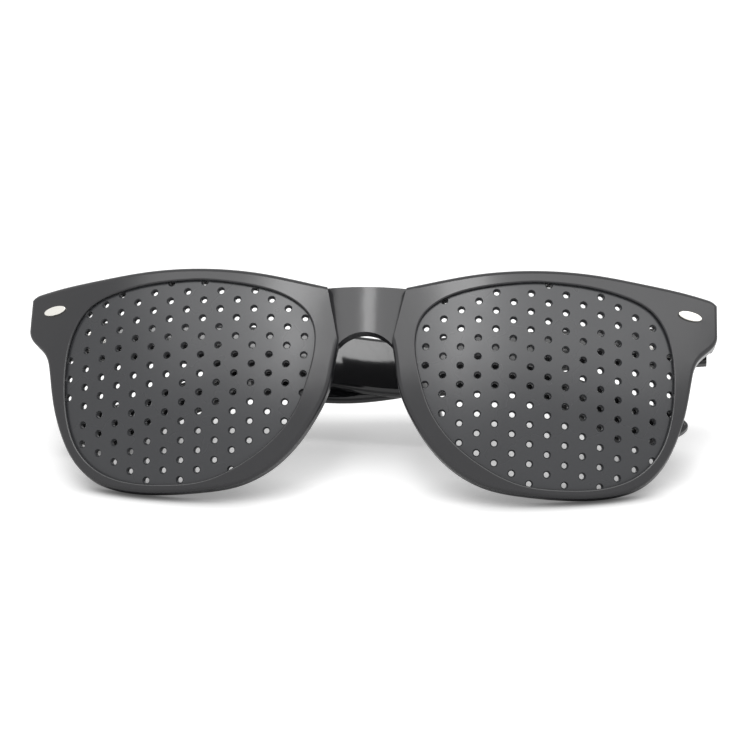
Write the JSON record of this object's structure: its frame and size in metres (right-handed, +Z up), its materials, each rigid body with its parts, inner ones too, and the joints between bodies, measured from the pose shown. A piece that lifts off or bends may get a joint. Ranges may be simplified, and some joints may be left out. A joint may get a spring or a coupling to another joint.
{
  "type": "pinhole glasses",
  "caption": "Black plastic pinhole glasses, folded: a broad-browed front with opaque perforated lenses, and temples on metal hinges.",
  "frame": {"origin": "middle of the bounding box at floor level, with the glasses folded and lying on the rims and a temple tip", "axes": "+Z up, the front leans back and faces -Y, +X towards the wearer's left"},
  "size_m": [0.144, 0.0458, 0.0424],
  "materials": {
    "frame_plastic": "polished black",
    "lens_plastic": "satin black",
    "temple_plastic": "polished black",
    "hinge_steel": "brushed",
    "screw_steel": "turned",
    "stud_metal": "polished"
  },
  "bodies": {
    "front": {"front_frame": "frame_plastic", "right_pinhole_lens": "lens_plastic", "right_front_hinge_leaf": "hinge_steel", "right_hinge_screw": "screw_steel", "right_front_stud": "stud_metal", "left_pinhole_lens": "lens_plastic", "left_front_hinge_leaf": "hinge_steel", "left_hinge_screw": "screw_steel", "left_front_stud": "stud_metal"},
    "right_temple_body": {"right_temple": "temple_plastic", "right_temple_hinge_leaf": "hinge_steel"},
    "left_temple_body": {"left_temple": "temple_plastic", "left_temple_hinge_leaf": "hinge_steel"}
  },
  "joints": [
    {"name": "right_temple_hinge", "type": "hinge", "parent": "front", "child": "right_temple_body", "pos_m": [-0.0668, 0.01261, 0.02422], "axis": [0, 0.6414, 0.7672], "range_deg": [0, 90]},
    {"name": "left_temple_hinge", "type": "hinge", "parent": "front", "child": "left_temple_body", "pos_m": [0.0668, 0.01261, 0.02422], "axis": [0, -0.6414, -0.7672], "range_deg": [0, 86.7]}
  ]
}
